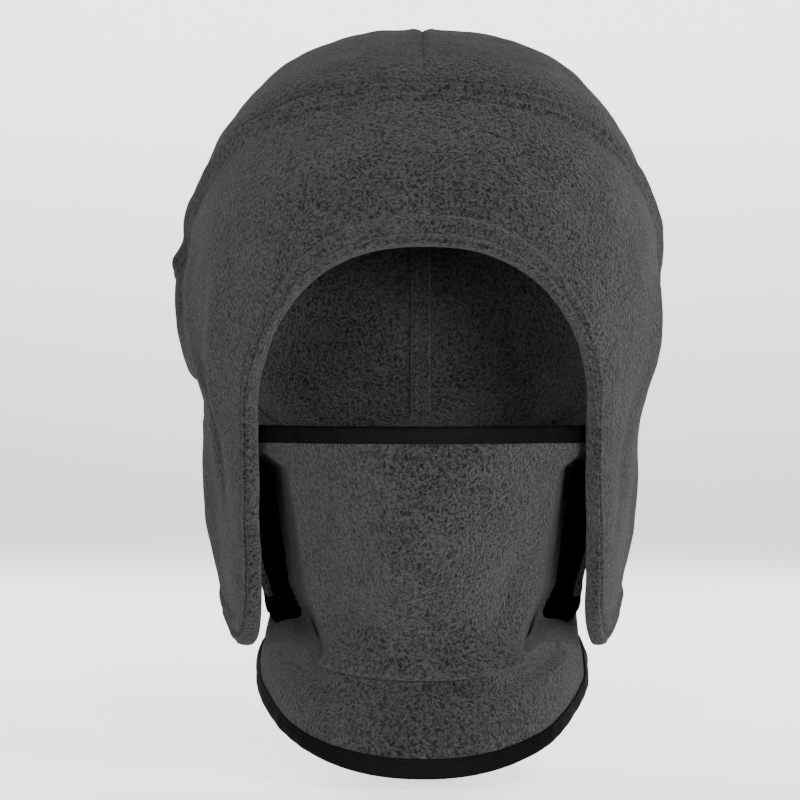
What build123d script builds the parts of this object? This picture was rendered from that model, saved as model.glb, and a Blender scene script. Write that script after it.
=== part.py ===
"""Fleece balaclava: a hood with two free cheek flaps, over a face mask and neck tube.

Millimetres, +Z up, the face looks along -Y. The origin is the middle of the wearer's head, midway
between the ears. Two closed shapes give every panel its form, the hood's and the inner tube's. A
panel is the skin between two curves on one of them, with an offset for its inner and outer face:

- the crown is above an oblique seam that runs from the forehead to the nape, in two panels,
- the brow band lies below that seam, round the face opening and across the nape,
- each front lower corner is a free flap that swings outwards about a fore-and-aft line,
- the tube inside is the mask in front, with a bound upper edge that is pulled down off the nose,
  and the neck collar with a bound lower edge.
"""

import os
from math import atan, cos, degrees, radians, sin

from build123d import *

# --- driving dimensions -------------------------------------------------------------------------
FLEECE = 2.5  # thickness of one layer of fleece
HEM_LAYER = 2.0  # pressed layer that is turned inside along an edge
THREAD = 0.35  # height that a line of stitching stands proud
THREAD_GAP = 0.2  # between a line of stitching and the cloth
THREAD_WIDTH = 0.6
SEWN_GAP = 0.3  # left between two layers of one body
BODY_GAP = 0.6  # left between two bodies that move apart

# Sections of the hood: height, half width, front depth, back depth, exponent of the rounded box.
HOOD = (
    (-140, 76, 94, 60, 2.8),
    (-100, 84, 98, 64, 2.8),
    (-80, 87.5, 99.5, 72, 2.75),
    (-60, 89.5, 101, 87, 2.7),
    (-30, 93.5, 104.5, 112, 2.6),
    (-8, 99, 107.5, 121, 2.5),
    (10, 101, 108, 122, 2.45),
)
CROWN_HEIGHT = 136.0
# Sections of the tube that is the mask in front and the collar below.
TUBE = (
    (-182, 71, 95, 58, 2.2),
    (-145, 71, 90, 58, 2.2),
    (-132, 70, 88, 58, 2.2),
    (-122, 68, 89, 59, 2.0),
    (-112, 67, 93, 60, 1.75),
    (-95, 70, 100, 62, 1.65),
    (-75, 76, 106, 64, 1.65),
    (-50, 83, 109, 64, 1.75),
    (-22, 85, 107, 64, 1.95),
)

OPENING_HALF_WIDTH = 67.0  # face opening, seen from the front
OPENING_TOP = 40.0
OPENING_SPRING = -32.0  # where the arch meets its straight sides
OPENING_POWER = 2.3
FLAP_CORNER = 32.0  # how far from the flap's corner its rounding starts
HEM_WIDTH = 12.0
HEM_STITCH = 5.0  # from the edge to the line of stitching
WELT_WIDTH = 9.0
WELT_LAYER = 1.6

CROWN_SEAM = (43.0, -0.8)  # plane of the seam: height on the Z axis, rise towards the back
CROWN_STITCH = 6.0
HOOD_EDGE = (-107.0, 0.45)  # plane of the hood's lower edge
FOLD = (-104.0, -0.771)  # plane that parts the flaps from the band
COLLAR_TOP = (-94.6, 0.4)
COLLAR_EDGE = (-135.0, 0.42)

MASK_EDGE = -32.0  # upper edge of the mask's binding
MASK_REACH = 87.0  # degrees round to each side that the mask reaches
MASK_SEAM = -88.0  # lower end of the seam behind each cheek
COLLAR_SPLIT = 106.0  # degrees round from the front to the collar's side seams
BINDING_WIDTH = 7.0
BINDING_WALL = 0.9
NAPE_SEAM_REACH = 32.0  # degrees either side of the nape
NAPE_COVER = 1.5  # the nape slopes, so its layers are this much thicker when crossed level


# --- the two shapes -------------------------------------------------------------------------------
def between(table, z):
    """Half width, front, back and exponent of a table's section at height z, smoothly joined."""
    z = min(max(z, table[0][0]), table[-1][0])
    i = 0
    while i < len(table) - 2 and z > table[i + 1][0]:
        i += 1
    low, high = table[i], table[i + 1]
    before, after = table[max(i - 1, 0)], table[min(i + 2, len(table) - 1)]
    run = high[0] - low[0]
    t = (z - low[0]) / run
    result = []
    for k in range(1, 5):
        start = (high[k] - before[k]) / (high[0] - before[0]) * run
        end = (after[k] - low[k]) / (after[0] - low[0]) * run
        a = 2 * (low[k] - high[k]) + start + end
        b = 3 * (high[k] - low[k]) - 2 * start - end
        result.append(low[k] + t * (start + t * (b + t * a)))
    return result


def excess(table, x, y, z):
    """Negative inside the shape, zero on its skin."""
    width, front, back, power = between(table, z)
    total = (abs(x) / width) ** power + (abs(y) / (back if y > 0 else front)) ** power
    if table is HOOD and z > HOOD[-1][0]:
        total += ((z - HOOD[-1][0]) / (CROWN_HEIGHT - HOOD[-1][0])) ** power
    return total - 1


def hit(table, origin, direction):
    """Where a line from an inner point leaves the shape."""
    near, far = 0.0, 400.0
    ox, oy, oz = origin.X, origin.Y, origin.Z
    dx, dy, dz = direction.normalized()
    for _ in range(30):
        middle = (near + far) / 2
        if excess(table, ox + dx * middle, oy + dy * middle, oz + dz * middle) < 0:
            near = middle
        else:
            far = middle
    return Vector(ox + dx * near, oy + dy * near, oz + dz * near)


def onto(table, p):
    """A point moved onto the skin: level with itself below the ears, from the centre above them."""
    origin = Vector(0, 0, min(p.Z, 0))
    return hit(table, origin, p - origin)


def raised(table, p, height):
    """A point of the skin moved outwards along the skin's normal."""
    h = 0.05
    x, y, z = p
    slope = Vector(
        excess(table, x + h, y, z) - excess(table, x - h, y, z),
        excess(table, x, y + h, z) - excess(table, x, y - h, z),
        excess(table, x, y, z + h) - excess(table, x, y, z - h),
    )
    return p + slope.normalized() * height


def heading(angle):
    """Level direction, 0 to the front, 90 to the right, 180 to the nape."""
    return Vector(sin(radians(angle)), -cos(radians(angle)), 0)


def on_plane(table, plane, angle, shift=0.0):
    """Point of the skin in an oblique plane, in the given heading. The plane is moved up by shift."""
    height, slope = plane
    height += shift * (1 + slope**2) ** 0.5
    ahead = heading(angle)
    return hit(table, Vector(0, 0, height), ahead + Vector(0, 0, slope * ahead.Y))


def on_level(table, z, angle):
    return on_plane(table, (z, 0.0), angle)


def on_front(x, z):
    """Point of the hood's front skin seen at x, z from the front."""
    return hit(HOOD, Vector(x, 0, z), Vector(0, -1, 0))


# --- solids ---------------------------------------------------------------------------------------
def triangles(quads):
    """Two flat faces for each four corners, which go round in order, split the short way."""
    faces = []
    for a, b, c, d in quads:
        if (a - c).length > (b - d).length:
            a, b, c, d = b, c, d, a
        faces.append(Face(Wire.make_polygon([a, b, c])))
        faces.append(Face(Wire.make_polygon([a, c, d])))
    return faces


def cells(rows):
    """The four corners of each cell of a grid of points."""
    result = []
    for low, high in zip(rows, rows[1:]):
        result += zip(low, low[1:], high[1:], high)
    return result


def shell(table, rows, low, high):
    """Closed faceted solid over a grid of points of a skin, from the low to the high offset."""
    under = [[raised(table, p, low) for p in row] for row in rows]
    over = [[raised(table, p, high) for p in row] for row in rows]
    rims = [[under[0], over[0]], [over[-1], under[-1]]]
    rims.append([[row[0] for row in over], [row[0] for row in under]])
    rims.append([[row[-1] for row in under], [row[-1] for row in over]])
    quads = cells(over) + cells([row[::-1] for row in under])
    for rim in rims:
        quads += cells(rim)
    return closed(triangles(quads))


def closed(faces):
    solid = Solid(Shell(faces))
    return solid if solid.volume > 0 else Solid(Shell([-face for face in solid.faces()]))


def strip(table, first, last, low, high, across=2):
    """Shell between two curves of a skin, given as lists of points."""
    rows = []
    for t in steps(0, 1, across):
        rows.append([onto(table, a * (1 - t) + b * t) for a, b in zip(first, last)])
    return shell(table, rows, low, high)


def coons(table, bottom, top, left, right, low, high):
    """Shell inside four curves. Bottom and top run from left to right, left and right upwards."""
    rows = []
    for v, start, end in zip(steps(0, 1, len(left) - 1), left, right):
        row = []
        for u, down, up in zip(steps(0, 1, len(bottom) - 1), bottom, top):
            lower = bottom[0] * (1 - u) + bottom[-1] * u
            upper = top[0] * (1 - u) + top[-1] * u
            sides = start * (1 - u) + end * u
            row.append(onto(table, sides + (down - lower) * (1 - v) + (up - upper) * v))
        rows.append(row)
    return shell(table, rows, low, high)


def sweep(sections):
    """Faceted solid through a run of flat polygons with the same number of corners."""
    loops = [[*section, section[0]] for section in sections]
    ends = [Face(Wire.make_polygon(sections[i])) for i in (0, -1)]
    return closed([*triangles(cells(loops)), *ends])


def steps(start, end, count):
    return [start + (end - start) * i / count for i in range(count + 1)]


def mirrored(points):
    return [Vector(-p.X, p.Y, p.Z) for p in points]


def write(name, shape):
    shape.label = name
    export_step(shape, f"parts/{name}.step")


def write_pair(name, shape):
    """Writes the right-hand shape and its mirror image."""
    write(f"right_{name}", shape)
    write(f"left_{name}", mirror(shape, about=Plane.YZ))


# --- curves of the hood, on its right-hand side ---------------------------------------------------
def crossing(is_before):
    """The value from 0 to 1 at which a test stops being true."""
    near, far = 0.0, 1.0
    for _ in range(30):
        middle = (near + far) / 2
        if is_before(middle):
            near = middle
        else:
            far = middle
    return near


def height_over(plane, p, shift=0.0):
    """How far a point lies above a plane that is moved up by shift."""
    height, slope = plane
    return (p.Z - height - slope * p.Y) / (1 + slope**2) ** 0.5 - shift


def arch(d, count=16):
    """From the top of the face opening to its spring line, d away from the edge."""
    points = []
    for angle in steps(90, 0, count):
        c, s = cos(radians(angle)), sin(radians(angle))
        share = (abs(c) ** OPENING_POWER + s**OPENING_POWER) ** (-1 / OPENING_POWER)
        rise = (OPENING_TOP - OPENING_SPRING + d) * s * share
        points.append(on_front((OPENING_HALF_WIDTH + d) * c * share, OPENING_SPRING + rise))
    return points


def cheek(d):
    """The opening's straight side as a function: 0 at the spring line, 1 at the flap's corner."""
    x = OPENING_HALF_WIDTH + d
    drop = crossing(lambda t: height_over(HOOD_EDGE, on_front(x, -110 * t + -30), d) > 0)
    low = -110 * drop - 30
    return lambda t: on_front(x, OPENING_SPRING + (low - OPENING_SPRING) * t)


def lower_edge(d):
    """The hood's lower edge as a function: 0 at the flap's corner, 1 at the nape."""
    x = OPENING_HALF_WIDTH + d
    start = 80 * crossing(lambda t: on_plane(HOOD, HOOD_EDGE, 80 * t, d).X < x)
    return lambda t: on_plane(HOOD, HOOD_EDGE, start + (179.9 - start) * t, d)


def folded(curve, shift, above):
    """Where a curve meets the fold, starting above it or below it."""
    return crossing(lambda t: (height_over(FOLD, curve(t), shift) > 0) == above)


def flap_outline(d, shift, count=40):
    """The flap's free edge, from the fold down the front, round the corner and back to the fold."""
    side, foot = cheek(d), lower_edge(d)
    corner = side(1)
    reach = FLAP_CORNER - d
    turn = crossing(lambda t: (side(t) - corner).length > reach)
    back = crossing(lambda t: (foot(t) - corner).length < reach)
    start, end = side(turn), foot(back)
    points = [side(t) for t in steps(folded(side, shift, True), turn, count)]
    for t in steps(0, 1, count)[1:-1]:
        bend = start * (1 - t) ** 2 + corner * (2 * t * (1 - t)) + end * t**2
        points.append(onto(HOOD, bend))
    return points + [foot(t) for t in steps(back, folded(foot, shift, False), count)]


def root_cheek(d, count=2):
    """The opening's straight side from the spring line down to the fold."""
    side = cheek(d)
    return [side(t) for t in steps(0, folded(side, BODY_GAP / 2, True), count)]


def root_nape(d, count=24):
    """The lower edge from the fold round to the nape."""
    foot = lower_edge(d)
    return [foot(t) for t in steps(folded(foot, BODY_GAP / 2, False), 1, count)]


def fold_line(shift, count):
    """The fold from the face opening to the lower edge."""
    side, foot = cheek(0), lower_edge(0)
    start, end = side(folded(side, shift, True)), foot(folded(foot, shift, False))
    points = []
    for y in steps(start.Y, end.Y, count):
        height = FOLD[0] + FOLD[1] * y + shift * (1 + FOLD[1] ** 2) ** 0.5
        points.append(hit(HOOD, Vector(0, y, height), Vector(1, 0, 0)))
    return points


def even(points, count):
    """The same curve with evenly spaced points."""
    lengths = [0.0]
    for a, b in zip(points, points[1:]):
        lengths.append(lengths[-1] + (b - a).length)
    result = []
    for want in steps(0, lengths[-1], count):
        i = 0
        while i < len(points) - 2 and lengths[i + 1] < want:
            i += 1
        t = (want - lengths[i]) / (lengths[i + 1] - lengths[i])
        result.append(points[i] * (1 - t) + points[i + 1] * t)
    return result


def softened(points, passes):
    """The same curve with its corners rounded off."""
    for _ in range(passes):
        inner = zip(points, points[1:], points[2:])
        points = [points[0], *[(a + b * 2 + c) / 4 for a, b, c in inner], points[-1]]
    return points


def crown_line(shift, start, end, count):
    return [on_plane(HOOD, CROWN_SEAM, a, shift) for a in steps(start, end, count)]


def centre_line(x, trim, count):
    """Down the middle of the crown from the forehead to the nape, x to the right."""
    origin = Vector(x, 0, CROWN_SEAM[0])
    fall = degrees(atan(-CROWN_SEAM[1]))
    angles = steps(fall + trim, 180 + fall - trim, count)
    return [hit(HOOD, origin, Vector(0, -cos(radians(a)), sin(radians(a)))) for a in angles]


# --- nodes ----------------------------------------------------------------------------------------
def make_crown():
    gap = SEWN_GAP / 2
    middle = centre_line(gap, 0.1, 32)
    front = crown_line(gap, 0.06, 62, 12)
    side = crown_line(gap, 62, 122, 32)
    back = crown_line(gap, 122, 179.94, 12)
    write_pair("crown", coons(HOOD, middle, side, front, back[::-1], -FLEECE, 0))
    inside = -FLEECE - SEWN_GAP
    half = WELT_WIDTH / 2
    lines = [centre_line(x, 7, 30) for x in (-half, half)]
    write("crown_seam_welt", strip(HOOD, *lines, inside - WELT_LAYER, inside))
    under = inside - WELT_LAYER - THREAD_GAP
    lines = [centre_line(x, 7, 30) for x in (-THREAD_WIDTH / 2, THREAD_WIDTH / 2)]
    write("crown_seam_stitching", strip(HOOD, *lines, under - THREAD, under, 1))
    lines = [crown_line(shift, -179.9, 179.9, 64) for shift in (-half, half)]
    write("band_seam_welt", strip(HOOD, *lines, inside - WELT_LAYER, inside))
    shifts = (-CROWN_STITCH, THREAD_WIDTH - CROWN_STITCH)
    lines = [crown_line(shift, -179.9, 179.9, 64) for shift in shifts]
    write("band_seam_stitching", strip(HOOD, *lines, THREAD_GAP, THREAD_GAP + THREAD, 1))


def make_band():
    fold = fold_line(BODY_GAP / 2, 40)
    lower = [*arch(0), *root_cheek(0)[1:], *fold[1:], *root_nape(0, 60)[1:]]
    lower = softened(even(lower, 48), 2)
    upper = crown_line(-SEWN_GAP / 2, 0, 179.9, 48)
    lower = [*mirrored(lower[:0:-1]), *lower]
    upper = [*mirrored(upper[:0:-1]), *upper]
    write("brow_band", strip(HOOD, lower, upper, -FLEECE, 0, 8))
    outline = even(flap_outline(0, -BODY_GAP / 2), 24)
    fold = even(fold_line(-BODY_GAP / 2, 60), 24)
    flap = coons(HOOD, outline[:13], fold[12:], fold[:13], outline[12:], -FLEECE, 0)
    write_pair("flap", flap)


def make_hems():
    inside = -FLEECE - SEWN_GAP
    stitch = (HEM_STITCH, HEM_STITCH + THREAD_WIDTH)
    for name, (near, far), low, high in (
        ("hem", (0, HEM_WIDTH), inside - HEM_LAYER, inside),
        ("stitching", stitch, THREAD_GAP, THREAD_GAP + THREAD),
    ):
        lines = [[*arch(d), *root_cheek(d)[1:]] for d in (near, far)]
        lines = [[*mirrored(line[:0:-1]), *line] for line in lines]
        write(f"opening_{name}", strip(HOOD, *lines, low, high))
        lines = [root_nape(d) for d in (near, far)]
        lines = [[*line, *mirrored(line[-2::-1])] for line in lines]
        write(f"nape_{name}", strip(HOOD, *lines, low, high))
        lines = [even(flap_outline(d, -BODY_GAP / 2, 16), 28) for d in (near, far)]
        write_pair(f"flap_{name}", strip(HOOD, *lines, low, high))


def make_tube():
    angles = steps(-MASK_REACH, MASK_REACH, 30)
    lower = [on_plane(TUBE, COLLAR_TOP, a, BODY_GAP) for a in angles]
    sewn_in = BINDING_WALL + SEWN_GAP
    upper = [on_level(TUBE, MASK_EDGE - sewn_in, a) for a in angles]
    write("mask_panel", strip(TUBE, lower, upper, -FLEECE, 0, 8))
    split = COLLAR_SPLIT
    for name, angles in (
        ("collar_front", steps(0.1 - split, split - 0.1, 32)),
        ("collar_back", steps(split + 0.1, 360 - split - 0.1, 22)),
    ):
        lower = [on_plane(TUBE, COLLAR_EDGE, a, sewn_in) for a in angles]
        upper = [on_plane(TUBE, COLLAR_TOP, a) for a in angles]
        write(name, strip(TUBE, lower, upper, -FLEECE, 0, 4))
    inside = -FLEECE - SEWN_GAP
    lines = []
    for shift in (-4, 4):
        low = on_plane(TUBE, COLLAR_EDGE, split + shift, BINDING_WIDTH + 1)
        high = on_plane(TUBE, COLLAR_TOP, split + shift, -2)
        lines.append([onto(TUBE, low * (1 - t) + high * t) for t in steps(0, 1, 8)])
    write_pair("collar_seam_welt", strip(TUBE, *lines, inside - WELT_LAYER, inside))


def channel(p, outwards, inwards):
    """Corners of the section of a folded tape whose fold lies at p; inwards leads into the cloth."""
    gap, wall, width = SEWN_GAP, BINDING_WALL, BINDING_WIDTH
    out, low = gap + wall, -FLEECE - gap - wall
    corners = (
        (out, 0),
        (out, width),
        (gap, width),
        (gap, wall),
        (-FLEECE - gap, wall),
        (-FLEECE - gap, width),
        (low, width),
        (low, 0),
    )
    return [p + outwards * a + inwards * b for a, b in corners]


def make_bindings():
    proud = SEWN_GAP + BINDING_WALL + 2 * THREAD_GAP
    high = BINDING_WIDTH - 1.2
    rings = (
        ("collar_binding", steps(-179.9, 179.9, 60), COLLAR_EDGE, 1),
        ("mask_binding", steps(-MASK_REACH, MASK_REACH, 30), (MASK_EDGE, 0.0), -1),
    )
    for name, angles, plane, way in rings:
        sections = []
        for a in angles:
            p = on_plane(TUBE, plane, a)
            inwards = on_plane(TUBE, plane, a, way * BINDING_WIDTH) - p
            sections.append(channel(p, raised(TUBE, p, 1) - p, inwards.normalized()))
        write(name, sweep(sections))
        shifts = (high - THREAD_WIDTH, high)
        lines = [[on_plane(TUBE, plane, a, way * shift) for a in angles] for shift in shifts]
        write(f"{name}_stitching", strip(TUBE, *lines, proud, proud + THREAD, 1))


def bridge(inner, outer, cover):
    """From a point of the tube's skin to one under the hood's layers, as two points."""
    way = (outer - inner).normalized()
    return inner + way * SEWN_GAP, outer - way * cover


def make_joins():
    """The seams that hold the tube in the hood: one behind each cheek and one across the nape."""
    sections = []
    for z in steps(MASK_EDGE - BINDING_WIDTH - 8, MASK_SEAM, 10):
        near, far = [
            bridge(on_level(TUBE, z, a), on_level(HOOD, z, a), FLEECE + SEWN_GAP)
            for a in (MASK_REACH + 0.5, MASK_REACH + 2.5)
        ]
        sections.append([*near, *far[::-1]])
    write_pair("cheek_seam", sweep(sections))
    cover = NAPE_COVER * (FLEECE + HEM_LAYER + 2 * SEWN_GAP)
    sections = []
    for a in steps(180 - NAPE_SEAM_REACH, 180 + NAPE_SEAM_REACH, 16):
        outer = [on_plane(HOOD, HOOD_EDGE, a, shift) for shift in (2, 5)]
        near, far = [bridge(on_level(TUBE, p.Z, a), p, cover) for p in outer]
        sections.append([*near, *far[::-1]])
    write("nape_seam", sweep(sections))


os.makedirs("parts", exist_ok=True)
make_crown()
make_band()
make_hems()
make_tube()
make_bindings()
make_joins()
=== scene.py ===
"""Looks for the fleece balaclava: sewn and folded cloth over the CAD frame.

Lengths are in millimetres in the frame of the CAD until a mesh is made: X to the right as seen from
the front, Y to the back, Z up. Each piece of cloth is a grid of points on one of two skins, the
hood's and the inner tube's, with an offset along the skin's normal. A heading is an angle in degrees
round the Z axis, from straight ahead towards +X.
"""

import math

import bmesh
import bpy
import numpy as np
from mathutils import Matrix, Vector


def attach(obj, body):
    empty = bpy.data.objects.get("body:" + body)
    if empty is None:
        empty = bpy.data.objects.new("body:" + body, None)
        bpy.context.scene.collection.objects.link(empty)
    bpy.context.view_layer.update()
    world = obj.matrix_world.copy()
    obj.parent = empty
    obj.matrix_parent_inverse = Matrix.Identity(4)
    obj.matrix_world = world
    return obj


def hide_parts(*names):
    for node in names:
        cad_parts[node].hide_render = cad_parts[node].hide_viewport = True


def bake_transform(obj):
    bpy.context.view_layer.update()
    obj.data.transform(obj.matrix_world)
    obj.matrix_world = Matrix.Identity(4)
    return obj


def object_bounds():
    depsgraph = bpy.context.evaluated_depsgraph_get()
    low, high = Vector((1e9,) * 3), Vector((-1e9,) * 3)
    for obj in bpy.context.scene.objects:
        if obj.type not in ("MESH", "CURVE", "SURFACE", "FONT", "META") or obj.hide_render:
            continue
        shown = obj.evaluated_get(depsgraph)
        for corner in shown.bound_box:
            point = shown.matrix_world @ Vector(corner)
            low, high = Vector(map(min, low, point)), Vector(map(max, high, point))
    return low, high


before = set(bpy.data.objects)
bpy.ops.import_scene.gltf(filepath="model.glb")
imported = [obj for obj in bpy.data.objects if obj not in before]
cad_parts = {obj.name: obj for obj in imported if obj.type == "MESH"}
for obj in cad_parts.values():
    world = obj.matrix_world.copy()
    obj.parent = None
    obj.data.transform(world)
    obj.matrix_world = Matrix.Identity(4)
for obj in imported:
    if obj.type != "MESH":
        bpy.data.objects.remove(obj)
CAD_BOX = [list(corner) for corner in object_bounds()]

MM = 0.001
FLEECE = 2.5  # one layer
HEM_STACK = 4.8  # two layers at a turned edge
HEM_WIDTH = 12.0
HEM_STITCH = 5.3  # from the edge
SEAM_STITCH = 6.0  # from the crown seam
BINDING_WIDTH = 7.0
BINDING_WALL = 1.1
BINDING_STITCH = 1.3  # from the tape's own edge
STITCH = 2.7
STITCH_PITCH = 3.5
STITCH_HALF_WIDTH = 0.36
STITCH_HALF_HEIGHT = 0.32

# Sections of the two skins: height, half width, front depth, back depth, exponent.
HOOD = (
    (-140, 76, 94, 60, 2.8),
    (-100, 84, 98, 64, 2.8),
    (-80, 87.5, 99.5, 72, 2.75),
    (-60, 89.5, 101, 87, 2.7),
    (-30, 93.5, 104.5, 112, 2.6),
    (-8, 99, 107.5, 121, 2.5),
    (10, 101, 108, 122, 2.45),
)
TUBE = (
    (-182, 71, 95, 58, 2.2),
    (-145, 71, 90, 58, 2.2),
    (-132, 70, 88, 58, 2.2),
    (-122, 68, 89, 59, 2.0),
    (-112, 67, 93, 60, 1.75),
    (-95, 70, 100, 62, 1.65),
    (-75, 76, 106, 64, 1.65),
    (-50, 83, 109, 64, 1.75),
    (-22, 85, 107, 64, 1.95),
)
CROWN_HEIGHT = 136.0

# Planes: height on the Z axis, rise towards the back.
CROWN_SEAM = (43.0, -0.8)
HOOD_EDGE = (-107.0, 0.45)
COLLAR_TOP = (-94.6, 0.4)
COLLAR_EDGE = (-135.0, 0.42)
CHIN_FOLD = (-103.6, 0.36)

OPENING_HALF_WIDTH = 69.5  # the inner layer of the hem curls in to the 67 mm of the cut
OPENING_TOP = 40.0
OPENING_SPRING = -32.0
OPENING_POWER = 2.3
FLAP_CORNER = 32.0
MASK_EDGE = -32.0
MASK_REACH = 87.0
COLLAR_SPLIT = 106.0

# Slack folds of the hood: start and end as heading and height, half width, rise (below 0 a valley).
HOOD_FOLDS = (
    (-92, 50, -88, -6, 7.0, 2.6),
    (-79, 46, -76, -10, 4.0, -1.6),
    (-70, 40, -66, -14, 5.0, 1.5),
    (-100, -18, -70, -22, 6.0, -3.4),
    (-62, -6, -56, -70, 5.0, -1.5),
    (-72, -34, -82, -96, 9.0, 2.2),
    (-52, 20, -58, -40, 4.5, 1.0),
    (86, 56, 90, 0, 8.0, 0.8),
    (76, 40, 74, -12, 4.0, -1.8),
    (68, 30, 66, -20, 5.0, 1.2),
    (98, -20, 74, -30, 7.0, -2.6),
    (60, -10, 55, -75, 5.0, -1.2),
    (80, -40, 84, -95, 9.0, 1.4),
    (20, 78, 52, 40, 8.0, -0.8),
    (-24, 76, -50, 46, 9.0, 0.8),
    (130, 10, 150, -40, 10.0, -1.6),
    (-125, 20, -150, -30, 10.0, 1.6),
    (170, -20, -150, -50, 8.0, 1.0),
)
TUBE_FOLDS = (
    (14, -134, 52, -116, 3.2, 2.4),
    (18, -141, 56, -124, 3.0, -1.8),
    (-8, -62, -6, -118, 8.0, 1.5),
    (-34, -60, -26, -112, 7.0, -1.0),
    (30, -70, 20, -118, 7.0, -0.9),
    (-60, -118, -20, -132, 4.0, 1.6),
    (-58, -126, -24, -140, 3.2, -1.2),
    (-40, -150, -10, -160, 6.0, 1.0),
    (36, -152, 8, -164, 6.0, 0.9),
)
# Where the mask turns back from the flaps: height, half width.
MASK_FLANK = (
    (-134, 50),
    (-124, 40),
    (-114, 42),
    (-100, 49),
    (-78, 52),
    (-64, 54),
    (-50, 56),
    (-43, 66),
)
MM_PER_DEGREE = 1.6  # round the skins, near enough to place a fold

SKIN_LEVELS = 900
HALVINGS = 28  # of a search along a ray
FAR = 400.0  # past both skins
PROBE = 0.05  # to find the slope of a skin


# --- skins --------------------------------------------------------------------------------------
class Skin:
    """A closed shape given by level sections, with a rounded top above the last one if top is set."""

    def __init__(self, table, top=None):
        self.base = table[-1][0]
        self.top = top
        self.z = np.linspace(table[0][0], self.base, SKIN_LEVELS)
        self.columns = [self.smooth(table, k) for k in range(1, 5)]

    def smooth(self, table, k):
        """Column k of the table on every level, as a smooth curve through its values."""
        heights = np.array([row[0] for row in table], float)
        values = np.array([row[k] for row in table], float)
        slopes = np.gradient(values, heights)
        slopes[1:-1] = (values[2:] - values[:-2]) / (heights[2:] - heights[:-2])
        i = np.clip(np.searchsorted(heights, self.z) - 1, 0, len(table) - 2)
        run = heights[i + 1] - heights[i]
        t = (self.z - heights[i]) / run
        start, end = slopes[i] * run, slopes[i + 1] * run
        a = 2 * (values[i] - values[i + 1]) + start + end
        b = 3 * (values[i + 1] - values[i]) - 2 * start - end
        return values[i] + t * (start + t * (b + t * a))

    def excess(self, p):
        """Below 0 inside the skin, 0 on it and above 0 outside."""
        width, front, back, power = [np.interp(p[..., 2], self.z, c) for c in self.columns]
        depth = np.where(p[..., 1] > 0, back, front)
        total = (np.abs(p[..., 0]) / width) ** power + (np.abs(p[..., 1]) / depth) ** power
        if self.top:
            rise = np.maximum(p[..., 2] - self.base, 0) / (self.top - self.base)
            total = total + rise**power
        return total - 1

    def hit(self, origin, direction):
        """Where rays from inside meet the skin."""
        step = direction / np.linalg.norm(direction, axis=-1, keepdims=True)
        near, far = np.zeros(step.shape[:-1]), np.full(step.shape[:-1], FAR)
        for _ in range(HALVINGS):
            middle = (near + far) / 2
            inside = self.excess(origin + step * middle[..., None]) < 0
            near, far = np.where(inside, middle, near), np.where(inside, far, middle)
        return origin + step * near[..., None]

    def onto(self, p):
        """Points moved onto the skin: level below the origin, away from the origin above it."""
        origin = np.zeros_like(p)
        origin[..., 2] = np.minimum(p[..., 2], 0)
        return self.hit(origin, p - origin)

    def normal(self, p):
        grad = []
        for axis in range(3):
            step = np.zeros(3)
            step[axis] = PROBE
            grad.append(self.excess(p + step) - self.excess(p - step))
        grad = np.stack(grad, -1)
        return grad / np.linalg.norm(grad, axis=-1, keepdims=True)

    def on_plane(self, plane, headings, shift=0.0):
        """Where the skin meets a plane, or one that lies shift above it, at the given headings."""
        height, slope = plane
        angles = np.radians(np.asarray(headings, float))
        ahead = np.stack([np.sin(angles), -np.cos(angles), -slope * np.cos(angles)], -1)
        origin = np.zeros_like(ahead)
        origin[..., 2] = height + shift * math.hypot(1, slope)
        return self.hit(origin, ahead)

    def on_front(self, x, z):
        """Points of the skin's front, seen from straight ahead."""
        origin = np.stack([x, np.zeros_like(x), z], -1)
        return self.hit(origin, np.broadcast_to([0.0, -1.0, 0.0], origin.shape))


hood, tube = Skin(HOOD, CROWN_HEIGHT), Skin(TUBE)


def over(plane, p):
    """How far points lie above a plane."""
    height, slope = plane
    return (p[..., 2] - height - slope * p[..., 1]) / math.hypot(1, slope)


def heading(p):
    return np.degrees(np.arctan2(p[..., 0], -p[..., 1]))


def bump(x, middle, width):
    """1 in the middle and next to 0 at twice the width from it."""
    return np.exp(-(((x - middle) / width) ** 2))


def ramp(x, start, end):
    """0 up to the start and 1 from the end on, smooth between."""
    t = np.clip((x - start) / (end - start), 0, 1)
    return t * t * (3 - 2 * t)


def ripple(p, length, seed, waves=7):
    """Smooth noise, mostly between -1 and 1, with about the given wavelength."""
    rng = np.random.default_rng(seed)
    total = 0
    for _ in range(waves):
        way = rng.normal(size=3)
        way *= 2 * math.pi / (length * rng.uniform(0.7, 1.5)) / np.linalg.norm(way)
        total = total + np.sin(p @ way + rng.uniform(0, 6.28))
    return total / math.sqrt(waves)


def folds(p, table):
    """Sum of the ridges and valleys of a table of folds."""
    angle = heading(p)
    total = np.zeros(p.shape[:-1])
    for a0, z0, a1, z1, width, rise in table:
        across = (angle - a0 + 180) % 360 - 180
        turn = (a1 - a0 + 180) % 360 - 180
        x, z = across * MM_PER_DEGREE, p[..., 2] - z0
        dx, dz = turn * MM_PER_DEGREE, z1 - z0
        t = np.clip((x * dx + z * dz) / (dx * dx + dz * dz), 0, 1)
        gap = np.hypot(x - t * dx, z - t * dz)
        total += rise * np.exp(-((gap / width) ** 2)) * (0.35 + 0.65 * np.sin(math.pi * t))
    return total


def hood_slack(p):
    """How far the hood's cloth stands off its skin."""
    sag = 0.7 * ripple(p, 75, 3) + 0.35 * ripple(p, 32, 4) + 0.16 * ripple(p, 13, 5)
    return 2.0 * folds(p, HOOD_FOLDS) + sag


def tube_slack(p):
    """How far the mask and the collar stand off their skin."""
    sag = 0.5 * ripple(p, 60, 7) + 0.3 * ripple(p, 26, 8) + 0.13 * ripple(p, 12, 9)
    return 1.6 * folds(p, TUBE_FOLDS) + sag


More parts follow.
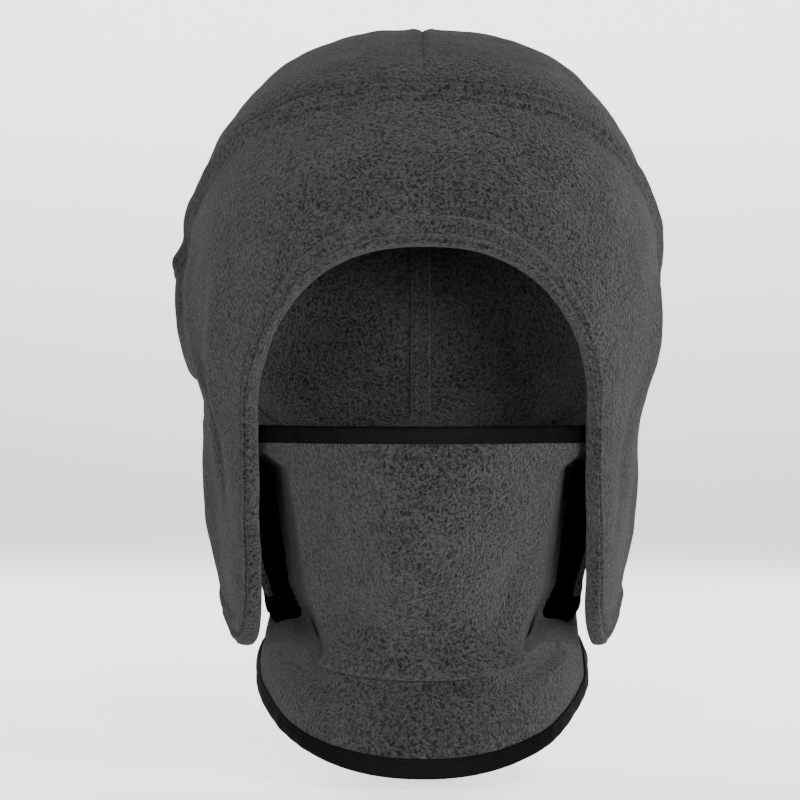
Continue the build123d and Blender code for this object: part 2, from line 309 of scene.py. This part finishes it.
def chin_pouch(p):
    """How far the mask sags over the fold under the chin."""
    d = over(CHIN_FOLD, p)
    return 4.2 * np.exp(-((d / 13) ** 2)) * (1 - ramp(np.abs(heading(p)), 60, 86))


def collar_tuck(p):
    """How far the top of the collar is tucked in behind the mask."""
    below = np.maximum(-over(CHIN_FOLD, p), 0)
    tuck = 4.6 * np.exp(-((below / 12) ** 2)) + 0.6
    return tuck * (1 - ramp(np.abs(heading(p)), 78, 96))


def pushed_back(p, stop, share):
    """Points moved back by a share of their way to y = stop."""
    back = np.maximum(stop - p[..., 1], 0) * share
    return p + back[..., None] * np.array([0.0, 1.0, 0.0])


def turned_in(p):
    """The mask with its sides turned back from the flaps, narrowest beside the chin."""
    half = np.interp(p[..., 2], *zip(*MASK_FLANK))
    share = ramp(np.abs(p[..., 0]), half - 1, half + 8) * ramp(-p[..., 2], 41, 47)
    return pushed_back(p, -6, share)


def tucked_in(p):
    """The collar with its top pushed back inside the hood beside the chin."""
    share = ramp(p[..., 2], -124, -113) * ramp(np.abs(p[..., 0]), 40, 54)
    return pushed_back(p, -3, share)


# --- meshes -------------------------------------------------------------------------------------
def make_piece(name, points, faces, material):
    """An object from points in millimetres. Faces with more than four corners are cut ends."""
    mesh = bpy.data.meshes.new(name)
    mesh.from_pydata((points.reshape(-1, 3) * MM).tolist(), [], faces)
    made = bmesh.new()
    made.from_mesh(mesh)
    bmesh.ops.remove_doubles(made, verts=made.verts, dist=1e-6)
    bmesh.ops.recalc_face_normals(made, faces=made.faces)
    for face in made.faces:
        if len(face.verts) > 4:
            for edge in face.edges:
                edge.smooth = False
    made.to_mesh(mesh)
    made.free()
    mesh.shade_smooth()
    piece = bpy.data.objects.new(name, mesh)
    bpy.context.scene.collection.objects.link(piece)
    mesh.materials.append(material)
    return piece


def loop_mesh(name, points, material, ring=False):
    """A closed mesh from points[round the section][along the piece]."""
    around, along = points.shape[:2]
    i, j = np.meshgrid(np.arange(around), np.arange(along if ring else along - 1), indexing="ij")
    i2, j2 = (i + 1) % around, (j + 1) % along
    quads = np.stack([i * along + j, i * along + j2, i2 * along + j2, i2 * along + j], -1)
    faces = quads.reshape(-1, 4).tolist()
    if not ring:
        column = np.arange(around) * along
        faces += [column.tolist(), (column[::-1] + along - 1).tolist()]
    return make_piece(name, points, faces, material)


def lengths(points):
    """Running length along the first axis."""
    steps = np.linalg.norm(np.diff(points, axis=0), axis=-1)
    return np.concatenate([np.zeros((1, *steps.shape[1:])), np.cumsum(steps, 0)])


def at_length(points, want):
    """Points at given running lengths along the first axis, for each column."""
    run = lengths(points)
    result = np.empty((*want.shape, 3))
    for j in range(points.shape[1]):
        for axis in range(3):
            result[:, j, axis] = np.interp(want[:, j], run[:, j], points[:, j, axis])
    return result


def even(points, count):
    """A curve with count evenly spaced points."""
    want = np.linspace(0, lengths(points)[-1], count)
    return at_length(points[:, None], want[:, None])[:, 0]


def between(skin, first, last, count=90):
    """Grid of points of a skin from one curve across to another."""
    t = np.linspace(0, 1, count)[:, None, None]
    return skin.onto(first[None] * (1 - t) + last[None] * t)


# --- curves of the hood's right-hand side -------------------------------------------------------
ARCH_POINTS, SIDE_POINTS, BEND_POINTS, FOOT_POINTS = 120, 60, 48, 160
SEAM_HEADINGS = (0, 58, 96, 180)  # joined to the arch's top, its end, the flap's corner, the nape
BAND_COLUMNS = 250


def first_true(test, start, end):
    """The value between start and end at which a test turns true."""
    for _ in range(40):
        middle = (start + end) / 2
        if test(middle):
            end = middle
        else:
            start = middle
    return (start + end) / 2


def one(value):
    return np.array([float(value)])


def opening_outline():
    """The hood's free edge: over the face opening, down the flap, round it and back to the nape.
    Also the heading on the crown seam that each of its points is joined to."""
    angle = np.radians(np.linspace(90, 0, ARCH_POINTS))
    c, s = np.cos(angle), np.sin(angle)
    share = (np.abs(c) ** OPENING_POWER + np.abs(s) ** OPENING_POWER) ** (-1 / OPENING_POWER)
    rise = (OPENING_TOP - OPENING_SPRING) * s * share
    arch = hood.on_front(OPENING_HALF_WIDTH * c * share, OPENING_SPRING + rise)
    low = first_true(
        lambda z: over(HOOD_EDGE, hood.on_front(one(OPENING_HALF_WIDTH), one(z)))[0] < 0, -60, -150
    )
    turn = low + FLAP_CORNER
    heights = np.linspace(OPENING_SPRING, turn, SIDE_POINTS)
    side = hood.on_front(np.full(SIDE_POINTS, OPENING_HALF_WIDTH), heights)
    corner = hood.on_front(one(OPENING_HALF_WIDTH), one(low))[0]
    back = first_true(
        lambda a: np.linalg.norm(hood.on_plane(HOOD_EDGE, one(a))[0] - corner) > FLAP_CORNER, 50, 90
    )
    foot = hood.on_plane(HOOD_EDGE, np.linspace(back, 180, FOOT_POINTS))
    t = np.linspace(0, 1, BEND_POINTS + 2)[1:-1, None]
    bend = side[-1] * (1 - t) ** 2 + corner * (2 * t * (1 - t)) + foot[0] * t**2
    outline = np.concatenate([arch, side[1:], hood.onto(bend), foot])
    run = lengths(outline)
    arch_end = ARCH_POINTS - 1
    bend_middle = arch_end + SIDE_POINTS - 1 + BEND_POINTS // 2
    marks = [0, run[arch_end], run[bend_middle], run[-1]]
    return outline, np.interp(run, marks, SEAM_HEADINGS)


def crown_line(margin, count):
    """The hood's middle line over the crown, from margin degrees inside the seam at both ends."""
    fall = math.degrees(math.atan(-CROWN_SEAM[1]))
    turn = np.radians(np.linspace(fall + margin, 180 + fall - margin, count))
    origin = np.zeros((count, 3))
    origin[:, 2] = CROWN_SEAM[0]
    return hood.hit(origin, np.stack([0 * turn, -np.cos(turn), np.sin(turn)], -1))


def mirrored(points, sign):
    return points * np.array([sign, 1.0, 1.0])


# --- cloth pieces -------------------------------------------------------------------------------
CURL = np.radians(np.linspace(0, 180, 9))[1:-1, None]  # round a turned edge, outside to inside
EDGE_ZONE, SEAM_ZONE = 16, 10  # beside the free edge and the crown seam, with closer rows
RAW_EDGE = 0.6  # run of the step over the cut edge inside a hem
COLLAR_ROWS = 70  # on each face


def spaced(start, end, step):
    """Distances from start to end, about a step apart."""
    count = max(2, round(abs(end - start) / step))
    return np.linspace(start, end, count + 1)


def band_section(length):
    """Distance from the free edge and offset round the section of a panel with a turned hem, for
    panels of the given lengths from edge to seam. Also the number of rows on the outer face."""
    radius = HEM_STACK / 2
    ones = np.ones_like(length)
    edge = spaced(radius, EDGE_ZONE, 0.75)[:, None] * ones
    reach = np.linspace(0, 1, 60)[1:-1, None]
    middle = EDGE_ZONE + (length - SEAM_ZONE - EDGE_ZONE) * reach
    seam = length - spaced(SEAM_ZONE, 0, 0.8)[:, None]
    outer = np.concatenate([edge, middle, seam])
    under = spaced(radius, HEM_WIDTH, 1.2)[:, None] * ones
    reach = np.linspace(0, 1, 60)[:, None]
    inner = HEM_WIDTH + RAW_EDGE + (length - HEM_WIDTH - RAW_EDGE) * reach
    distance = [outer[::-1], radius - radius * np.sin(CURL) * ones, under, inner]
    offset = [
        np.zeros_like(outer),
        (radius * np.cos(CURL) - radius) * ones,
        np.full_like(under, -HEM_STACK),
        np.full_like(inner, -FLEECE),
    ]
    return np.concatenate(distance), np.concatenate(offset), len(outer)


def stitch_pull(along):
    """How hard a line of stitches pulls the cloth down. It rises and falls once per stitch."""
    return 0.8 + 0.2 * np.cos(2 * math.pi * along / STITCH_PITCH)


def hem_relief(d, along):
    """The outer face over a turned hem: a padded edge with a line of stitches sunk in it."""
    pad = 1.4 * (1 - ramp(d, 10.8, 13.2)) + 0.6 * bump(d, 2.6, 1.7) + 0.5 * bump(d, 8.6, 2.0)
    groove = 1.7 * stitch_pull(along) * bump(d, HEM_STITCH, 0.8)
    pucker = 0.22 * np.sin(along / 2.1 + 1.3 * np.sin(along / 9)) * bump(d, HEM_STITCH, 4.0)
    return pad - groove + pucker


def seam_relief(h, along):
    """The band beside the crown seam: a ridge over the seam allowance and a line of stitches."""
    ridge = 2.3 * (1 - ramp(h, 6.0, 9.5)) + 1.5 * bump(h, 2.4, 1.9)
    groove = 1.3 * stitch_pull(along) * bump(h, SEAM_STITCH, 0.8)
    pucker = 0.2 * np.sin(along / 2.3 + 1.1 * np.sin(along / 8)) * bump(h, SEAM_STITCH, 3.0)
    return ridge - groove - 3.0 * np.exp(-h / 0.9) + pucker


def crown_relief(p):
    """The crown panels: a dip into both seams, a swell above the oblique one and a ridge beside the
    middle one."""
    h, x = np.maximum(over(CROWN_SEAM, p), 0), np.abs(p[..., 0])
    dip = 2.6 * np.exp(-h / 2.6) + 0.8 * np.exp(-x / 0.8)
    swell = 1.2 * bump(h, 17, 8) - 0.9 * bump(h, 3, 5)
    return swell + 0.5 * bump(x, 3.6, 2.2) * ramp(h, 0, 6) - dip


def make_band(name, sign, material):
    """One side's panel from the free edge to the crown seam, with its hem. Also the grid of points
    of the skin that it is made on."""
    outline, headings = opening_outline()
    run = lengths(outline)
    spots = np.linspace(0, run[-1], BAND_COLUMNS)
    seam = hood.on_plane(CROWN_SEAM, np.interp(spots, run, headings))
    across = mirrored(between(hood, even(outline, BAND_COLUMNS), seam), sign)
    total = lengths(across)[-1]
    distance, offset, outer = band_section(total)
    base = hood.onto(at_length(across, distance))
    along = spots[None] * np.ones_like(distance)
    relief = hem_relief(distance, along) + seam_relief(total - distance, along)
    fade = np.linspace(1, 0, 4)[:, None]  # of the relief, round the turned edge
    relief[outer:] = 0
    relief[outer : outer + len(fade)] = relief[outer - 1] * fade
    rise = offset + relief + hood_slack(base)
    points = base + hood.normal(base) * rise[..., None]
    return loop_mesh(name, points, material), across


def make_crown(name, sign, material):
    """One side's panel from the middle line down to the crown seam."""
    middle = crown_line(0.2, 240)
    seam = hood.on_plane(CROWN_SEAM, np.linspace(0.3, 179.7, len(middle)))
    t = np.linspace(0, 1, 110)
    t = t + 0.03 * np.sin(2 * math.pi * t)  # rows a little closer half-way down
    rows = mirrored(middle[None] * (1 - t[:, None, None]) + seam[None] * t[:, None, None], sign)
    away = np.zeros_like(rows)
    away[..., 2] = CROWN_SEAM[0]
    base = hood.hit(away, rows - away)
    slack = hood_slack(base)
    outer = crown_relief(base) + slack
    inner = slack - FLEECE
    normal = hood.normal(base)
    faces = [base + normal * outer[..., None], (base + normal * inner[..., None])[::-1]]
    return loop_mesh(name, np.concatenate(faces), material)


def make_welt(name, centre, half, offset, thick, material, groove=True, ring=False):
    """A tape of cloth inside the hood along a curve of its skin, rounded in section. With a groove it
    is sunk along its middle."""
    ahead = np.gradient(centre, axis=0)
    sideways = np.cross(ahead, hood.normal(centre))
    sideways /= np.linalg.norm(sideways, axis=-1, keepdims=True)
    turn = np.linspace(0, 2 * math.pi, 40, endpoint=False)
    width = half * np.sign(np.cos(turn)) * np.abs(np.cos(turn)) ** 0.5
    height = thick / 2 * np.sign(np.sin(turn)) * np.abs(np.sin(turn)) ** 0.6
    if groove:
        height = height * (1 - 0.8 * bump(width, 0, half * 0.2))
    base = hood.onto(centre[None] + sideways[None] * width[:, None, None])
    run = lengths(centre)[None]
    wave = 0.12 * np.sin(run / 2.4) + 0.1 * np.sin(run / 5.3 + 1)
    rise = offset + height[:, None] + hood_slack(base) + wave
    points = base + hood.normal(base) * rise[..., None]
    return loop_mesh(name, points, material, ring)


def make_stitches(name, skin, path, rise, slack, material):
    """Separate stitches that lie along a curve of a skin, each a closed spindle."""
    steps, around = 7, 8
    run = lengths(path)
    spots = np.arange(STITCH_PITCH / 2, run[-1], STITCH_PITCH)
    centre = np.stack([np.interp(spots, run, path[:, k]) for k in range(3)], -1)
    nearby = np.stack([np.interp(spots + 0.5, run, path[:, k]) for k in range(3)], -1)
    normal = skin.normal(centre)
    ahead = nearby - centre
    ahead /= np.maximum(np.linalg.norm(ahead, axis=-1, keepdims=True), 1e-9)
    side = np.cross(normal, ahead)
    centre = centre + normal * (rise + slack(centre))[:, None]
    turns = np.linspace(0, 2 * math.pi, around, endpoint=False)
    u, v = np.meshgrid(np.linspace(0, math.pi, steps), turns)
    x = np.cos(u) * STITCH / 2
    y = np.sin(u) * np.cos(v) * STITCH_HALF_WIDTH
    z = np.sin(u) * np.sin(v) * STITCH_HALF_HEIGHT
    shape = x[None, ..., None] * ahead[:, None, None] + y[None, ..., None] * side[:, None, None]
    shape = shape + z[None, ..., None] * normal[:, None, None]
    points = centre[:, None, None] + shape
    faces = []
    for k in range(len(spots)):
        for i in range(around):
            for j in range(steps - 1):
                a = (k * around + i) * steps + j
                b = (k * around + (i + 1) % around) * steps + j
                faces.append([a, a + 1, b + 1, b])
    return make_piece(name, points, faces, material)


def make_mask(material):
    """The mask from the fold under the chin up to its taped edge. Its lower edge is rounded and a
    little thicker than the cloth."""
    headings = np.linspace(-MASK_REACH, MASK_REACH, 250)
    low = tube.on_plane(CHIN_FOLD, headings)
    high = tube.on_plane((MASK_EDGE - 1.4, 0), headings)  # inside the tape
    across = between(tube, low, high)
    total = lengths(across)[-1]
    radius = FLEECE / 2 + 0.6
    ones = np.ones_like(total)
    outer = radius + (total - radius) * np.linspace(0, 1, 120)[:, None] ** 1.15
    inner = radius + (total - radius) * np.linspace(0, 1, 60)[:, None]
    distance = [outer[::-1], radius - radius * np.sin(CURL) * ones, inner]
    offset = [
        np.zeros_like(outer),
        radius * (np.cos(CURL) - 1) * ones,
        -2 * radius + (2 * radius - FLEECE) * ramp(inner, 0, 12),
    ]
    base = tube.onto(at_length(across, np.concatenate(distance)))
    rise = np.concatenate(offset) + tube_slack(base) + chin_pouch(base)
    rise[: len(outer)] += 0.7 * bump(outer[::-1], 3.2, 2.4)
    points = turned_in(base + tube.normal(base) * rise[..., None])
    return loop_mesh("mask", points, material)


def make_collar(name, start, end, material):
    """One panel of the neck tube between two headings, sunk a little at both ends into the seams."""
    headings = np.linspace(start, end, round((end - start) * 1.25))
    low = tube.on_plane(COLLAR_EDGE, headings, 1.3)  # inside the tape
    high = tube.on_plane(COLLAR_TOP, headings, 1.0)
    across = between(tube, low, high)
    total = lengths(across)[-1]
    t = np.linspace(0, 1, COLLAR_ROWS)[:, None]
    outer, inner = (1 - t) * total, t * total
    base = tube.onto(at_length(across, np.concatenate([outer, inner])))
    from_end = np.minimum(headings - start, end - headings)[None]
    rise = tube_slack(base) - collar_tuck(base)
    rise[:COLLAR_ROWS] -= np.exp(-from_end / 0.8)
    rise[COLLAR_ROWS:] -= FLEECE
    points = tucked_in(base + tube.normal(base) * rise[..., None])
    return loop_mesh(name, points, material)


def make_binding(name, headings, plane, way, slack, material, ring):
    """A tape folded over the edge of the cloth in a plane: it stands proud on both faces. Way is 1
    where the cloth lies above the plane and -1 where it lies below."""
    thick = FLEECE + 2 * BINDING_WALL
    radius = thick / 2
    curl = np.radians(np.linspace(0, 180, 17))
    flat = np.linspace(BINDING_WIDTH, radius, 15)
    around = radius - radius * np.sin(curl)
    distance = np.concatenate([[BINDING_WIDTH + 0.15], flat[:-1], around, flat[::-1][1:]])
    high = BINDING_WALL + 0.25 * np.sin(math.pi * (flat[:-1] - radius) / (BINDING_WIDTH - radius))
    high = high - 0.38 * bump(flat[:-1], BINDING_WIDTH - BINDING_STITCH, 0.45)
    high[0] -= 0.25
    low = np.full(len(flat) - 1, -FLEECE - BINDING_WALL)
    offset = np.concatenate([[-0.4], high, radius * np.cos(curl) - radius + BINDING_WALL, low])
    rows = np.stack([tube.on_plane(plane, headings, way * d) for d in distance])
    run = lengths(rows[0])
    wave = 0.1 * np.sin(run / 1.7 + np.sin(run / 7)) + 0.12 * np.sin(run / 11)
    rise = offset[:, None] + wave[None] + slack(rows)
    points = rows + tube.normal(rows) * rise[..., None]
    return loop_mesh(name, points, material, ring)


# --- materials ----------------------------------------------------------------------------------
class Nodes:
    """Shorthand for a new material's node tree."""

    def __init__(self, name):
        self.material = bpy.data.materials.new(name)
        self.material.use_nodes = True
        self.tree = self.material.node_tree
        self.shader = self.tree.nodes["Principled BSDF"]
        self.place = self.add("ShaderNodeTexCoord").outputs["Object"]

    def add(self, kind, **values):
        node = self.tree.nodes.new(kind)
        for key, value in values.items():
            setattr(node, key, value)
        return node

    def link(self, start, end):
        self.tree.links.new(start, end)

    def noise(self, scale, detail, place=None):
        node = self.add("ShaderNodeTexNoise")
        node.inputs["Scale"].default_value = scale
        node.inputs["Detail"].default_value = detail
        self.link(place or self.place, node.inputs["Vector"])
        return node.outputs["Fac"]

    def math(self, operation, a, b, c=None):
        node = self.add("ShaderNodeMath", operation=operation)
        for socket, value in zip(node.inputs, (a, b, c)):
            if value is None:
                continue
            if isinstance(value, (int, float)):
                socket.default_value = value
            else:
                self.link(value, socket)
        return node.outputs[0]

    def span(self, value, low, high, to_low, to_high):
        """A value's range from low to high stretched to another, and held at its ends."""
        node = self.add("ShaderNodeMapRange")
        numbers = (low, high, to_low, to_high)
        for key, number in zip(("From Min", "From Max", "To Min", "To Max"), numbers):
            node.inputs[key].default_value = number
        self.link(value, node.inputs["Value"])
        return node.outputs["Result"]

    def mix(self, factor, a, b):
        node = self.add("ShaderNodeMix", data_type="RGBA")
        self.link(factor, node.inputs["Factor"])
        node.inputs["A"].default_value = (*a, 1)
        node.inputs["B"].default_value = (*b, 1)
        return node.outputs["Result"]

    def set_look(self, colour, height, depth, strength, roughness):
        """Colour, relief and roughness of the shader. The depth is in metres."""
        relief = self.add("ShaderNodeBump")
        relief.inputs["Strength"].default_value = strength
        relief.inputs["Distance"].default_value = depth
        self.link(height, relief.inputs["Height"])
        self.link(relief.outputs["Normal"], self.shader.inputs["Normal"])
        self.link(colour, self.shader.inputs["Base Color"])
        self.link(roughness, self.shader.inputs["Roughness"])


def fleece_material():
    """Anti-pill fleece: short curled pile in pebbles a millimetre across, with painted shade in the
    hollows between them.
    """
    n = Nodes("fleece")
    warp = n.add("ShaderNodeTexNoise")
    warp.inputs["Scale"].default_value = 420
    n.link(n.place, warp.inputs["Vector"])
    shift = n.add("ShaderNodeVectorMath", operation="MULTIPLY_ADD")
    n.link(warp.outputs["Color"], shift.inputs[0])
    shift.inputs[1].default_value = (0.003,) * 3
    n.link(n.place, shift.inputs[2])
    pebble = n.span(n.noise(820, 1.5, shift.outputs[0]), 0.36, 0.64, 0.0, 1.0)
    curl = n.span(n.noise(1900, 2.0, shift.outputs[0]), 0.32, 0.68, 0.0, 1.0)
    fibre = n.noise(4200, 2.0)
    blotch = n.noise(40, 4.0)
    fine = n.math("MULTIPLY_ADD", curl, 0.33, n.math("MULTIPLY", fibre, 0.2))
    height = n.math("MULTIPLY_ADD", pebble, 0.55, fine)
    patch = n.span(blotch, 0.35, 0.7, -0.06, 0.1)
    # Painted shade: the tone follows the pile's height, so the hollows between pebbles are painted
    # darker. The patches add tone that differs at random.
    tone = n.math("ADD", n.span(height, 0.2, 0.95, 0.0, 1.0), patch)
    colour = n.mix(tone, (0.0004, 0.0004, 0.0005), (0.0156, 0.0156, 0.0161))
    n.set_look(colour, height, 0.0009, 0.9, n.span(height, 0.3, 0.9, 1.0, 0.9))
    n.shader.inputs["Specular IOR Level"].default_value = 0.03
    n.shader.inputs["Sheen Weight"].default_value = 0.06
    n.shader.inputs["Sheen Roughness"].default_value = 0.5
    n.shader.inputs["Sheen Tint"].default_value = (0.75, 0.75, 0.78, 1)
    return n.material


def binding_material():
    """Black stretch tape with a fine knit rib."""
    n = Nodes("binding")
    rib = n.add("ShaderNodeTexVoronoi")
    rib.inputs["Scale"].default_value = 2300
    n.link(n.place, rib.inputs["Vector"])
    fine = n.noise(1500, 2.0)
    wear = n.noise(60, 3.0)
    height = n.math("MULTIPLY_ADD", rib.outputs["Distance"], 0.7, n.math("MULTIPLY", fine, 0.4))
    tone = n.math("ADD", n.span(height, 0.2, 0.8, 0.0, 0.6), n.span(wear, 0.35, 0.7, 0.0, 0.3))
    colour = n.mix(tone, (0.0007, 0.0007, 0.0008), (0.0022, 0.0022, 0.0024))
    n.set_look(colour, height, 0.0003, 0.5, n.span(wear, 0.3, 0.7, 0.6, 0.75))
    n.shader.inputs["Specular IOR Level"].default_value = 0.01
    return n.material


def thread_material(name, dark, light):
    """Spun sewing thread with its twist."""
    n = Nodes(name)
    twist = n.add("ShaderNodeTexWave")
    twist.inputs["Scale"].default_value = 900
    twist.inputs["Distortion"].default_value = 3
    n.link(n.place, twist.inputs["Vector"])
    height = twist.outputs["Fac"]
    n.set_look(n.mix(height, dark, light), height, 0.0002, 1.0, n.span(height, 0, 1, 0.7, 0.9))
    n.shader.inputs["Specular IOR Level"].default_value = 0.05
    return n.material


# --- building -----------------------------------------------------------------------------------
fleece = fleece_material()
tape = binding_material()
grey_thread = thread_material("grey_thread", (0.004, 0.004, 0.0044), (0.012, 0.012, 0.0126))
black_thread = thread_material("black_thread", (0.0004, 0.0004, 0.0004), (0.0012, 0.0012, 0.0012))

FULL_TURN = np.linspace(-180, 180, 420, endpoint=False)
THREAD_RISE = BINDING_WALL - 0.25  # of the stitches on a tape, pulled into it


def finish_piece(piece, slot, *nodes):
    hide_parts(*nodes)
    return piece


def collar_slack(p):
    return tube_slack(p) - collar_tuck(p)


def build_side(side, sign):
    """The band and the crown panel of one side, with their stitching."""
    flap = f"{side}_flap"
    band, across = make_band(f"{side}_band", sign, fleece)
    own = (flap, f"{flap}_hem", "brow_band", "opening_hem", "nape_hem")
    finish_piece(band, "fleece", *own)
    path = at_length(across, np.full((1, across.shape[1]), HEM_STITCH))[0]
    stitches = make_stitches(f"{side}_hem_thread", hood, path, 0.05, hood_slack, grey_thread)
    own = (f"{flap}_stitching", "opening_stitching", "nape_stitching")
    finish_piece(stitches, "thread", *own)
    for piece in (band, stitches):
        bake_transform(piece)
    crown = make_crown(f"{side}_crown_panel", sign, fleece)
    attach(finish_piece(crown, "fleece", f"{side}_crown"), "hood")
    total = lengths(across)[-1]
    path = at_length(across, (total - SEAM_STITCH)[None])[0]
    thread = make_stitches(f"{side}_seam_thread", hood, path, 0.75, hood_slack, grey_thread)
    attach(finish_piece(thread, "thread", "band_seam_stitching"), "hood")


def build_welts():
    """The tapes inside the hood over its middle seam and its oblique seam."""
    centre = crown_line(6, 220)
    under = -FLEECE - 0.9
    welt = make_welt("crown_welt", centre, 4.8, under - 1.2, 5.0, fleece)
    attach(finish_piece(welt, "fleece", "crown_seam_welt"), "hood")
    thread = make_stitches("crown_welt_thread", hood, centre, under - 1.4, hood_slack, grey_thread)
    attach(finish_piece(thread, "thread", "crown_seam_stitching"), "hood")
    ring = hood.on_plane(CROWN_SEAM, FULL_TURN)
    welt = make_welt("band_welt", ring, 4.5, under, 2.2, fleece, groove=False, ring=True)
    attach(finish_piece(welt, "fleece", "band_seam_welt"), "hood")


def build_mask():
    """The mask, the tape over its edge and the tape's stitching."""
    mask = finish_piece(make_mask(fleece), "fleece", "mask_panel")
    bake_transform(mask)
    headings = np.linspace(-MASK_REACH, MASK_REACH, 240)
    edge = (MASK_EDGE, 0.0)
    binding = make_binding("mask_tape", headings, edge, -1, tube_slack, tape, False)
    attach(finish_piece(binding, "binding", "mask_binding"), "mask_edge")
    path = tube.on_plane(edge, headings, BINDING_STITCH - BINDING_WIDTH)
    thread = make_stitches("mask_thread", tube, path, THREAD_RISE, tube_slack, black_thread)
    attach(finish_piece(thread, "thread", "mask_binding_stitching"), "mask_edge")
    return mask


def build_collar(mask):
    """Both panels of the neck tube, the tape over its lower edge and the tape's stitching."""
    split = COLLAR_SPLIT
    collar = make_collar("front_collar", -split, split, fleece)
    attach(finish_piece(collar, "fleece", "collar_front"), "hood")
    collar = make_collar("back_collar", split, 360 - split, fleece)
    own = ("collar_back", "right_collar_seam_welt", "left_collar_seam_welt")
    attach(finish_piece(collar, "fleece", *own), "hood")
    binding = make_binding("collar_tape", FULL_TURN, COLLAR_EDGE, 1, collar_slack, tape, True)
    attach(finish_piece(binding, "binding", "collar_binding"), "hood")
    path = tube.on_plane(COLLAR_EDGE, np.linspace(-180, 180, 421), BINDING_WIDTH - BINDING_STITCH)
    thread = make_stitches("collar_thread", tube, path, THREAD_RISE, collar_slack, black_thread)
    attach(finish_piece(thread, "thread", "collar_binding_stitching"), "hood")


def build_joins():
    """The cloth that joins the tube to the hood behind each cheek and across the nape."""
    half, cheek = 1.2, 88.5
    for side, sign in (("right", 1), ("left", -1)):
        heights = np.linspace(-47, -88, 40)
        inner = mirrored(np.stack([tube.on_plane((z, 0), [cheek])[0] for z in heights]), sign)
        outer = mirrored(np.stack([hood.on_plane((z, 0), [cheek])[0] for z in heights]), sign)
        piece = make_join(f"{side}_cheek_join", inner, outer, (0, half, 0))
        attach(finish_piece(piece, "fleece", f"{side}_cheek_seam"), "hood")
    headings = np.linspace(150, 210, 60)
    outer = hood.on_plane(HOOD_EDGE, headings, 3.5)
    inner = np.stack([tube.on_plane((p[2], 0), [a])[0] for p, a in zip(outer, headings)])
    piece = make_join("nape_join", inner, outer, (0, 0, half))
    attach(finish_piece(piece, "fleece", "nape_seam"), "hood")


def make_join(name, inner, outer, half):
    """A strip of cloth from a curve of the tube to one of the hood, half its thickness each way."""
    half = np.array(half)
    inner = inner + hood.normal(outer) * (tube_slack(inner) - 0.8)[:, None]
    outer = outer + hood.normal(outer) * (hood_slack(outer) - FLEECE + 0.4)[:, None]
    points = np.stack([inner - half, outer - half, outer + half, inner + half])
    return loop_mesh(name, points, fleece)


build_side("right", 1)
build_side("left", -1)
build_welts()
build_collar(build_mask())
build_joins()


# --- stage --------------------------------------------------------------------------------------
# In metres: a light's name, place, size and watts. All aim at the middle of the object.
AIM = (0, 0, -0.02)
LIGHTS = (
    ("back_left", (-1.0, 1.3, 0.9), 0.9, 42),
    ("back_right", (1.1, 1.2, 0.5), 0.9, 34),
    ("key", (0.9, -1.1, 1.1), 0.45, 20),
    ("fill", (-1.3, -1.0, 0.3), 1.0, 5),
    ("front_right", (0.36, -1.65, 0.03), 0.3, 84),
    ("front_left", (-0.3, -1.65, 0.03), 0.3, 42),
)
CAMERA_PLACE = (-0.0095, -1.5, -0.0215)
LENS, SENSOR = 157, 36
FLOOR_LEVEL = CAD_BOX[0][2] - 0.004
FLOOR_HALF_WIDTH, FLOOR_FRONT, FLOOR_BACK = 3, -3, 4
BEND_START, BEND_RADIUS = 2.5, 1.5  # where the floor turns up into the backdrop
BACKDROP_HEIGHT = 2.5


def make_camera(scene):
    lens = bpy.data.cameras.new("camera")
    lens.lens, lens.sensor_width = LENS, SENSOR
    camera = bpy.data.objects.new("camera", lens)
    scene.collection.objects.link(camera)
    camera.location = CAMERA_PLACE
    camera.rotation_euler = (math.radians(90), 0, 0)
    scene.camera = camera


def floor_material():
    """White, and glowing with emitted light that grows with height, a painted glow so that the
    backdrop fades up to white.
    """
    n = Nodes("floor")
    height = n.add("ShaderNodeSeparateXYZ")
    n.link(n.place, height.inputs[0])
    # Painted light: the floor and backdrop glow, weakest at the floor and strongest up the backdrop.
    glow = n.span(height.outputs["Z"], FLOOR_LEVEL, FLOOR_LEVEL + 0.7, 0.75, 2.4)
    n.link(glow, n.shader.inputs["Emission Strength"])
    n.shader.inputs["Base Color"].default_value = (0.9, 0.9, 0.9, 1)
    n.shader.inputs["Roughness"].default_value = 0.9
    n.shader.inputs["Emission Color"].default_value = (1, 1, 1, 1)
    return n.material


def make_floor(scene):
    """The floor and the backdrop, in one sweep."""
    profile = [(FLOOR_FRONT, FLOOR_LEVEL)]
    for a in np.linspace(0, math.pi / 2, 24):
        rise = BEND_RADIUS * (1 - math.cos(a))
        profile.append((BEND_START + BEND_RADIUS * math.sin(a), FLOOR_LEVEL + rise))
    profile.append((FLOOR_BACK, FLOOR_LEVEL + BACKDROP_HEIGHT))
    points = [(x, y, z) for y, z in profile for x in (-FLOOR_HALF_WIDTH, FLOOR_HALF_WIDTH)]
    faces = [[2 * i, 2 * i + 1, 2 * i + 3, 2 * i + 2] for i in range(len(profile) - 1)]
    mesh = bpy.data.meshes.new("floor")
    mesh.from_pydata(points, [], faces)
    mesh.shade_smooth()
    mesh.materials.append(floor_material())
    floor = bpy.data.objects.new("floor", mesh)
    scene.collection.objects.link(floor)


def make_lights(scene):
    world = bpy.data.worlds.new("world")
    world.use_nodes = True
    world.node_tree.nodes["Background"].inputs["Color"].default_value = (1, 1, 1, 1)
    world.node_tree.nodes["Background"].inputs["Strength"].default_value = 0.24
    scene.world = world
    for name, place, size, power in LIGHTS:
        lamp = bpy.data.lights.new(name, "AREA")
        lamp.shape, lamp.size, lamp.energy = "DISK", size, power
        holder = bpy.data.objects.new(name, lamp)
        scene.collection.objects.link(holder)
        holder.location = place
        way = Vector(AIM) - Vector(place)
        holder.rotation_euler = way.to_track_quat("-Z", "Y").to_euler()


make_camera(bpy.context.scene)
make_floor(bpy.context.scene)
make_lights(bpy.context.scene)
